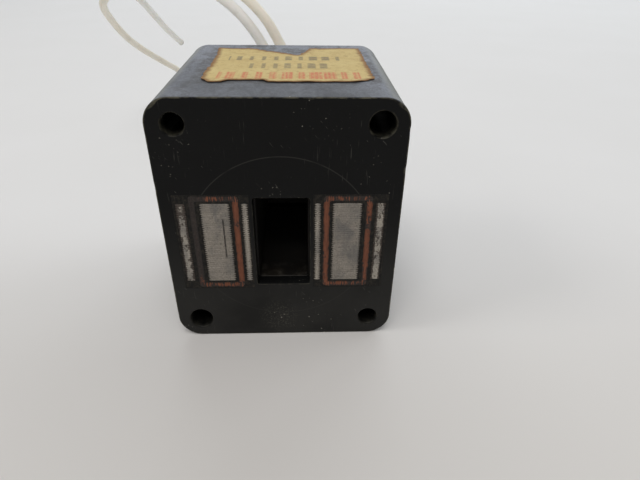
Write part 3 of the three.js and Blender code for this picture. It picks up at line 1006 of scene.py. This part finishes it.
def shading_ring(side, metal):
    """A flattened copper ring, flush with the pole face."""
    mesh = Mesh()
    walls = []
    for outline in ring_outlines(side):
        stations = (FRONT + 0.02, FRONT + 0.12, ring_high.y - 0.2, ring_high.y)
        loops = [[(x, y + 0.02 * wobble(x, 0, z, 0.8), z) for x, z in outline] for y in stations]
        walls.append(mesh.walls(loops))
    mesh.close(*walls)
    mesh.piece(f"shading_loop_{side}", metal, f"shading_ring_{side}")


def copper():
    """Filed copper: streaks, tarnish and black resin left on it, most of it on the left outer bar."""
    look = Finish("copper", 0x96604A)
    outwards, height = abs(look.x), abs(look.z - PLUNGER_Z)
    top = ring_high.z - PLUNGER_Z
    on_ends = height.step(top - RING_BAR - 0.3, top - RING_BAR + 0.1)
    on_outer = outwards.step(17.3, 17.9)
    on_left = look.x.step(-15.0, -16.5) * look.z.step(PLUNGER_Z - top + 1, PLUNGER_Z - top + 5)
    on_right_top = on_ends * look.x.step(-2, 2) * look.z.step(PLUNGER_Z - 2, PLUNGER_Z + 2)

    # How far each point is from the middle of the bar that it is on
    off_middle = abs(height - (top - RING_BAR / 2))
    for middle in (ring_low.x + RING_BAR / 2, ring_high.x - RING_BAR / 2):
        off_middle = off_middle.smaller(abs(outwards - middle))
    rim = off_middle.step(0.22, 0.62)

    streak = look.noise(0.3, 3, (1, 1, 0.1))
    tarnish = look.noise(1.6, 4, twist=0.8)
    look.paint(0x684336, tarnish)
    look.paint(0x503830, streak.step(0.45, 0.75) * 0.5)
    look.paint(0x3E2E27, rim * 0.45)

    # Black resin left on the bars
    cover = look.noise(0.9, 5, (1, 1, 0.5), 0.7, 0.7) + (look.noise(3.4, 2) - 0.5) * 0.55
    cover = cover + on_ends * 0.14 + on_right_top * 0.08 + on_outer * 0.08 + on_left * 0.3
    cover = (cover + rim * 0.09 + on_ends * (streak - 0.5) * 1.2).step(0.56, 0.7)
    grit = look.noise(0.35, 4, rough=0.7).step(0.35, 0.7) * (1 - rim * 0.75)
    look.paint(look.mix(grit, 0x0C0B0B, 0x302D29), cover * 0.95)
    look.set("Metallic", 0.85 - cover * 0.75)
    look.set("Roughness", cover * 0.15 + tarnish * 0.1 + 0.4)
    return look.made((streak, 0.015), (cover, 0.03))


def comb(side, near, far):
    """The outline of the steel between two of a pole's edges, stepping with the sheets."""
    sign = SIDES[side]
    near_points, far_points = [], []
    for i, row in enumerate(EDGES):
        low = sheet_low.z + i * SHEET_PITCH - (SHEET_PITCH - SHEET_THICKNESS) / 2
        for z in (low, low + SHEET_PITCH):
            near_points.append((sign * row[side][near], z))
            far_points.append((sign * row[side][far], z))
    points = far_points + near_points[::-1]
    return points if sign > 0 else points[::-1]


def resin_plate(mesh, outline, holes):
    """Resin between a pole's metal, just shy of the face."""
    walls = []
    for points in (outline, *holes):
        face = [(x, FRONT + RESIN_SHY + 0.01 * wobble(x, 3, z, 2.0), z) for x, z in points]
        walls.append(mesh.walls([face, at(points, ring_high.y - 0.3)]))
    mesh.close(*walls)


def on_back(points, climb=0.0):
    """Points stood on the uneven poured back, or as far out of it as they climb."""
    return [(x, RESIN_BACK - 0.12 + 0.12 * wobble(x, 2, z, 11.0) + climb, z) for x, z in points]


def burst_bubbles():
    """Places in X and Z with a radius, clear of each other."""
    draw = random.Random(5)
    bubbles = []
    while len(bubbles) < BUBBLES:
        x, z, radius = draw.uniform(-20, 20), draw.uniform(13, 44), draw.uniform(0.35, 0.9)
        if all(math.hypot(x - bx, z - bz) > radius + br + 1 for bx, bz, br in bubbles):
            bubbles.append((x, z, radius))
    return bubbles


def inside_cavity(x, z, margin):
    rooms = [(half - margin, low + margin, high - margin) for half, low, high in (TALL, WIDE)]
    return any(abs(x) < half and low < z < high for half, low, high in rooms)


def collar(mesh):
    """The resin risen round the two boots, with their sockets. It gives its outermost ring."""
    loops = []
    for reach, climb in ((3.6, 0.0), (2.9, 0.1), (2.35, 0.3)):
        x = (LEAD_X["left"] - reach, LEAD_X["right"] + reach)
        loops.append(on_back(even_loop(rectangle(x, about(LEAD_Z, reach)), 0.9 * reach), climb))
    rings = mesh.walls(loops)
    sockets = []
    for x in LEAD_X.values():
        rim = circle(x, LEAD_Z, BOOT_RADIUS + 0.01, TURNED_SIDES)
        top, floor = mesh.walls([on_back(rim, 0.5), at(rim, RESIN_BACK - 3)])
        mesh.fill(floor)
        sockets.append(top)
    mesh.fill(rings[-1], sockets)
    return rings[0]


def back_resin(mesh):
    """The poured back: a meniscus up the walls and round the boots, and a few burst bubbles."""
    outline, ways = cavity_outline(1.2)
    meniscus = ((0, 0.5), (0.12, 0.3), (0.35, 0.12), (0.7, 0.0))
    risen = [on_back(moved(outline, ways, inset), climb) for inset, climb in meniscus]
    walls = mesh.walls([at(outline, STACK_BACK + TOUCH), *risen])
    mesh.fill(walls[0])
    holes = [collar(mesh)]
    bubbles = burst_bubbles()
    for x, z, radius in bubbles:
        steps = ((1.0, 0.0), (0.86, 0.35), (0.5, 0.75))
        loops = [on_back(circle(x, z, share * radius, 14), -deep * radius) for share, deep in steps]
        pit = mesh.walls(loops)
        mesh.fill(pit[-1])
        holes.append(pit[0])
    taken = [(x, z, radius + 0.8) for x, z, radius in bubbles] + [(x, LEAD_Z, 4) for x in LEAD_X.values()]
    loose = []
    for x in range(-21, 22, 3):
        for z in range(6, 54, 3):
            free = all(math.hypot(x - tx, z - tz) >= reach for tx, tz, reach in taken)
            if free and inside_cavity(x, z, RESIN_MARGIN):
                loose.append((x, z))
    mesh.fill(walls[-1], holes, mesh.ring(on_back(loose)))


def potting():
    """The resin that shows: round each pole's metal, and over the back."""
    mesh = Mesh()
    for side in SIDES:
        outer, inner = ring_outlines(side)
        window = rounded(WINDOWS[side], WINDOW_CORNER, 6, 0.8)[0]
        resin_plate(mesh, window, [comb(side, 0, 1), comb(side, 4, 5), outer])
        resin_plate(mesh, inner, [comb(side, 2, 3)])
    back_resin(mesh)
    mesh.piece("potting_fill", potting_resin(), "potting")


def potting_resin():
    """Poured black resin: smooth and a little glossy at the back, ground and dusty at the front."""
    look = Finish("potting_resin", 0x0B0B0C, Specular_IOR_Level=0.2)
    at_front = look.y.step(0.0, -1.0)
    cloud = look.noise(3.0, 4)
    scuff = look.noise(0.22, 2, (1, 1, 0.08)).step(0.6, 0.75) * at_front
    look.paint(0x151514, cloud)
    look.paint(0x6C675C, scuff * 0.16)
    look.paint(0x6E6454, look.noise(0.9, 5, rough=0.75).step(0.4, 0.68) * at_front * 0.15)
    look.set("Roughness", at_front * 0.25 + cloud * 0.1 + 0.24)
    return look.made((look.noise(5.0, 2), 0.12), (look.noise(0.3, 3), 0.008), (scuff, 0.01))


COPPER = copper()
for side in SIDES:
    shading_ring(side, COPPER)
potting()


# ---------------- coil

TUBE_WALL = 1.0
FLANGE_THICKNESS = 1.2
WIRE_PITCH = 0.55
TAPE_WIDTH = 9.0
COIL_CORNER = 3.0


def bobbin_outside():
    """Y, size, how far out from it, and corner radius along the spool's tube and its two flanges."""
    nose, front = bobbin_low.y, FRONT + LIP_DEPTH + TOUCH
    tube = [half + TUBE_WALL for half in PASSAGE]
    flange = (bobbin_high.x, (bobbin_high.z - bobbin_low.z) / 2)
    steps = [(nose, tube, -0.2, 0.8), (nose + 0.2, tube, 0, 1.0), (front, tube, 0, 1.0)]
    for low in (front, bobbin_high.y - FLANGE_THICKNESS):
        high = low + FLANGE_THICKNESS
        steps += [(low, tube, 0.01, 1.0), (low, flange, -0.2, 1.6), (low + 0.2, flange, 0, 1.8)]
        steps += [(high - 0.2, flange, 0, 1.8), (high, flange, -0.2, 1.6), (high, tube, 0, 1.0)]
    return steps[:-1]


def bobbin():
    """Moulded spool: a square tube whose nose reaches to the mouth, and a flange at each end."""
    mesh = Mesh()
    steps = bobbin_outside()
    loops = [at(even_loop(round_plunger(size, out), radius), y) for y, size, out, radius in steps]
    outer = mesh.walls(loops)
    nose = bobbin_low.y
    bore = [(nose, 0.15, 0.1), (nose + 0.1, 0.05, 0.0)]
    bore += [(y, 0.0, 0.0) for y in spaced(nose + 0.5, bobbin_high.y, 18)]
    inner = []
    for y, flare, wear in bore:
        points = [
            (x + 0.03 * wobble(x, y, z, 3.0), y, z + 0.03 * wobble(x, y, z, 3.0, 4))
            for x, z in even_loop(round_plunger(PASSAGE, flare), MOUTH_CORNER + flare)
        ]
        inner.append(mesh.ring(points, wear))
    mesh.bands(inner)
    mesh.close(outer, inner)
    mesh.piece("bobbin_spool", bobbin_nylon(), "bobbin", 30)


def bobbin_nylon():
    """Dark glass-filled nylon, polished and dirtied where the plunger slides."""
    look = Finish("bobbin_nylon", 0x0C0B0B, Specular_IOR_Level=0.25)
    slide = look.noise(0.5, 3, (1, 0.08, 1))
    look.paint(0x171513, slide)
    look.paint(0x2E281E, look.noise(4.0, 4, (1, 0.5, 1)).step(0.48, 0.7) * 0.3)
    look.paint(0x5B564B, look.wear() * look.noise(1.5, 3).step(0.3, 0.6) * 0.35)
    fluff = look.noise(2.0, 5, rough=0.7).step(0.48, 0.66) * look.facing_z.step(0.5, 0.9)
    look.paint(0x77746C, fluff * look.y.step(FRONT + 14, FRONT + 2) * 0.14)
    look.paint(0x4A4845, look.y.step(FRONT + 6, FRONT + 24) * 0.7)
    look.set("Roughness", slide * 0.2 + 0.45)
    return look.made((slide, 0.02), (look.noise(0.2, 2), 0.006))


def round_coil(steps, straights):
    """Loops round the winding, each at its Y and so far out from the surface."""
    size = (winding_high.x, winding_high.z - PLUNGER_Z)
    return [at(even_loop(round_plunger(size, out), COIL_CORNER + out, straights), y) for y, out in steps]


def turn_by_turn(low, high, pitch, profile, last):
    """Y and how far out the surface is, at each step of a profile that every turn repeats."""
    turns = round((high - low) / pitch)
    each = (high - low) / turns
    steps = [(low + each * (turn + share), out) for turn in range(turns) for share, out in profile]
    return [*steps, (high, last)]


def winding():
    """The enamelled wire's outer layer, turn beside turn, with the wound body under it."""
    mesh = Mesh()
    low, high = winding_low.y, winding_high.y
    groove = -0.22
    profile = [(0.0, groove), (0.2, -0.06), (0.5, 0.0), (0.8, -0.06)]
    steps = turn_by_turn(low, high, WIRE_PITCH, profile, groove)
    loop = even_loop(round_plunger(PASSAGE, TUBE_WALL + 0.2), MOUTH_CORNER)
    mesh.close(mesh.walls(round_coil(steps, 6)), mesh.walls([at(loop, y) for y in (low, high)]))
    mesh.piece("winding_turns", enamelled_wire(), "coil_winding", 60)


def enamelled_wire():
    look = Finish("enamelled_wire", 0x8E3E20, Metallic=0.8, Roughness=0.3)
    look.paint(0xA8552C, (look.y / WIRE_PITCH).drawn())
    look.paint(0x5E2815, look.noise(3.0) * 0.5)
    return look.made((look.noise(0.5, 2), 0.01))


def wrap():
    """Cloth tape wound over the coil with half of each turn lapped by the next."""
    mesh = Mesh()
    low, high = wrap_low.y, wrap_high.y
    thickness = wrap_high.x - winding_high.x - TOUCH
    lapped = TOUCH + 0.75 * thickness
    profile = [(0.0, TOUCH + 0.55 * thickness), (0.04, TOUCH + thickness), (0.96, lapped)]
    steps = turn_by_turn(low, high, TAPE_WIDTH / 2, profile, lapped)
    inside = [(low, TOUCH), (high, TOUCH)]
    mesh.close(*[mesh.walls(round_coil(spans, 8)) for spans in (steps, inside)])
    mesh.piece("wrap_tape", cloth_tape(), "coil_wrap", 30)


def cloth_tape():
    """Woven tape, varnished."""
    look = Finish("cloth_tape", 0xB9A46C, Roughness=0.7)
    weave = (look.y * 9.0).sine() * ((look.x + look.z) * 9.0).sine() * 0.5 + 0.5
    look.paint(0xA18A55, look.noise(4.0, 4))
    look.paint(0x7D6A41, weave * 0.3)
    return look.made((weave, 0.05))


def pad():
    """Pad of the same cloth under the lead joints, bowed a little by them."""
    low, high = limits("joint_pad")
    dent_reach = 1.5
    mesh = Mesh()
    rims = []
    for z, press in ((low.z, 0.0), (high.z, 0.12)):
        skin = []
        for y in spaced(low.y, high.y, 20):
            row = []
            for x in spaced(low.x, high.x, 12):
                away = min(abs(x - lead_x) for lead_x in LEAD_X.values())
                row.append((x, y, z - press * max(0.0, 1 - away / dent_reach)))
            skin.append(mesh.ring(row))
        for a, b in zip(skin, skin[1:]):
            mesh.faces += [(a[i], a[i + 1], b[i + 1], b[i]) for i in range(len(a) - 1)]
        right, left = [row[-1] for row in skin], [row[0] for row in skin]
        rims.append(skin[0] + right[1:] + skin[-1][-2::-1] + left[-2:0:-1])
    mesh.bands(rims)
    mesh.piece("pad_under_joints", cloth_tape(), "joint_pad")


def joint(side, solder):
    """The crimped and soldered joint between the winding and a lead. It gives its radius."""
    low, high = limits(f"lead_joint_{side}")
    radius = high.x - LEAD_X[side]
    profile = [(radius * 0.6, low.y), (radius * 0.85, low.y + 0.3)]
    for y in spaced(low.y, high.y, 10)[1:-1]:
        profile += [(radius, y - 0.2), (radius * 0.86, y + 0.25)]
    profile += [(radius * 0.85, high.y - 0.3), (radius * 0.6, high.y)]
    mesh = Mesh()
    mesh.close(turned(mesh, profile, LEAD_X[side], LEAD_Z))
    mesh.piece(f"joint_crimp_{side}", solder, f"lead_joint_{side}")
    return radius


def joint_sleeve(side, joint_radius):
    """The sleeve over a joint."""
    node = f"joint_sleeve_{side}"
    low, high = limits(node)
    radius = high.z - LEAD_Z
    swell = [(radius - 0.06 + 0.06 * wobble(0, y, 0, 2.0), y) for y in spaced(low.y, high.y, 24)]
    sleeve(f"sleeve_tube_{side}", node, side, swell, joint_radius + LOOSE)


def rivet(node, steel):
    """A stack rivet with a peened head at each end."""
    low, high = limits(node)
    x, y = (low.x + high.x) / 2, (low.y + high.y) / 2
    head, shank, lift = (high.y - low.y) / 2, 1.4, 1.0
    profile = []
    for end, way in ((low.z, 1), (high.z, -1)):
        dome = [(math.sin(a), 1 - math.cos(a)) for a in (0.25, 0.6, 0.95, 1.25, 1.5)]
        steps = [(head * out, end + way * lift * up) for out, up in dome]
        steps += [(head * 0.98, end + way * (lift - 0.02)), (shank, end + way * lift)]
        profile += steps[::way]
    mesh = Mesh()
    loops = [[(*point, z) for point in circle(x, y, radius, 20)] for radius, z in profile]
    mesh.close(mesh.walls(loops))
    mesh.piece(node.replace("stack_rivet", "rivet"), steel, node)


bobbin()
winding()
wrap()
pad()
SOLDER = worn_metal("tinned_copper", 0xB9B5AC, 0x86807A, (0.6, 4), 0.25, 0.3, (0.6, 4), 0.03)
for side in LEAD_X:
    joint_sleeve(side, joint(side, SOLDER))
RIVET_STEEL = worn_metal("rivet_steel", 0x8E9093, 0x66635F, (0.9, 4), 0.3, 0.25, (0.4, 2), 0.04)
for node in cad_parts:
    if node.startswith("stack_rivet"):
        rivet(node, RIVET_STEEL)


# ---------------- label

LABEL_OUTLINE = [
    (-14.3, -14.3), (-11.8, -14.2), (-10.4, -12.8), (-3.5, -12.6), (-2.2, -14.1), (8.9, -14), (16, -13.9),
    (19.8, -11.5), (19.5, -0.9), (19.5, 19.6), (6.6, 18.6), (5, 13.7), (3.5, 11), (-0.7, 13.5),
    (-3.8, 15.3), (-7, 18.2), (-16.8, 19.2), (-16.4, 13), (-15.9, 4.3), (-16.3, -4.4), (-16.2, -12),
]
PAPER = 0.1
TORN_STEP, INNER_STEP = 0.45, 0.7


def torn_outline():
    """The label's outline in short steps, ragged where it is torn."""
    outline = []
    for here, ahead in zip(LABEL_OUTLINE, LABEL_OUTLINE[1:] + LABEL_OUTLINE[:1]):
        here, ahead = Vector(here), Vector(ahead)
        count = max(2, round((ahead - here).length / TORN_STEP))
        outline += [here.lerp(ahead, k / count) for k in range(count)]
    ragged = []
    for p, way in zip(outline, ways_in(outline)):
        torn = 0.5 if p.y > 10 or not -15 < p.x < 18.5 else 0.15
        pull = wobble(p.x, p.y, 0, 1.4) * torn + abs(wobble(p.x, p.y, 5, 0.5)) * torn
        ragged.append(p + way * max(pull, 0.0))
    return ragged


def label():
    """A torn, curling paper label: ragged outline, lifted edges and wrinkles."""
    ragged = torn_outline()

    def edge_distance(x, y):
        return min(math.hypot(x - p.x, y - p.y) for p in ragged)

    def lifted(x, y, rise):
        curl = max(0.0, 1 - edge_distance(x, y) / 2.2) ** 2
        wrinkle = 0.05 * (1 + wobble(x, y, 0, 2.4)) + 0.03 * wobble(x, y, 3, 0.9)
        lift = max(0.0, wrinkle) + curl * (0.04 + 0.22 * max(0.0, wobble(x, y, 7, 3.5)))
        return (x, y, label_low.z + lift + rise)

    inner = []
    stride = round(10 * INNER_STEP)
    for x10 in range(int(label_low.x * 10), int(label_high.x * 10), stride):
        for y10 in range(int(label_low.y * 10), int(label_high.y * 10), stride):
            x, y = x10 / 10 + 0.02 * (y10 % 5), y10 / 10
            if point_inside(x, y, ragged) and edge_distance(x, y) > 0.35:
                inner.append((x, y))
    mesh = Mesh()
    rims = []
    for rise in (0.0, PAPER):
        rims.append(mesh.ring([lifted(x, y, rise) for x, y in ragged], 1.0))
        loose = []
        for x, y in inner:
            loose += mesh.ring([lifted(x, y, rise)], max(0.0, 1 - edge_distance(x, y) / 1.6))
        mesh.fill(rims[-1], (), loose)
    mesh.bands(rims)
    mesh.piece("label_sheet", label_paper(), "label", 50)


def point_inside(x, y, outline):
    inside = False
    for a, b in zip(outline, outline[1:] + outline[:1]):
        if (a.y > y) != (b.y > y) and x < a.x + (b.x - a.x) * (y - a.y) / (b.y - a.y):
            inside = not inside
    return inside


def printed_bars(look, y, x, pitch, share):
    """A row of upright bars, all as high, of uneven width."""
    count = look.x / pitch
    half_width = (count.drawn() * 0.6 + 0.4) * (share / 2)
    bar = (abs(count.fraction() - 0.5) - half_width).step(0.07, -0.07)
    printed = look.y.within(*y, 0.3) * look.x.within(*x, 0.1) * bar
    return printed * look.noise(0.7, 4).step(0.15, 0.55)


def label_paper():
    """Aged paper with brown edges and faded plain printed bars that stand for no words."""
    look = Finish("label_paper", 0xD4C48A, Roughness=0.75, Specular_IOR_Level=0.25)
    look.paint(0xC2A870, look.noise(4.0, 5, rough=0.6))
    look.paint(0x94713F, look.noise(3.2, 6, rough=0.65, twist=0.4).step(0.5, 0.66) * 0.2)
    look.paint(0x94693A, look.noise(1.3, 6, rough=0.7, twist=0.5).step(0.5, 0.7) * 0.4)
    look.paint(0x7A5A32, look.noise(0.4, 4, rough=0.7).step(0.58, 0.7) * 0.4)
    blocks = printed_bars(look, (-11.9, -6.2), (-13.2, 16.9), 3.0, 1.0)
    strokes = printed_bars(look, (-12.2, -6.0), (-13.2, 16.9), 0.9, 0.85)
    look.paint(0xC9634C, blocks * (strokes * 0.35 + 0.4))
    rows = [((-2.8, 2.0), (-7.6, 11.6), 2.7, 0.55), ((5.2, 9.2), (-12.6, 15.0), 2.9, 0.65)]
    for y, x, pitch, dark in rows:
        middle = sum(y) / 2
        hollow = look.y.within(middle, middle, 0.6)
        ink = printed_bars(look, y, x, pitch, 0.72) * (1 - hollow * 0.6)
        look.paint(0x5A5851, ink * dark)
    edge = (look.wear() + look.noise(1.1, 5, rough=0.7) * 0.6).step(0.45, 1.15)
    look.paint(0x80552F, edge * 0.85)
    return look.made((look.noise(0.25, 4), 0.02), (look.noise(1.8, 3), 0.06))


label()
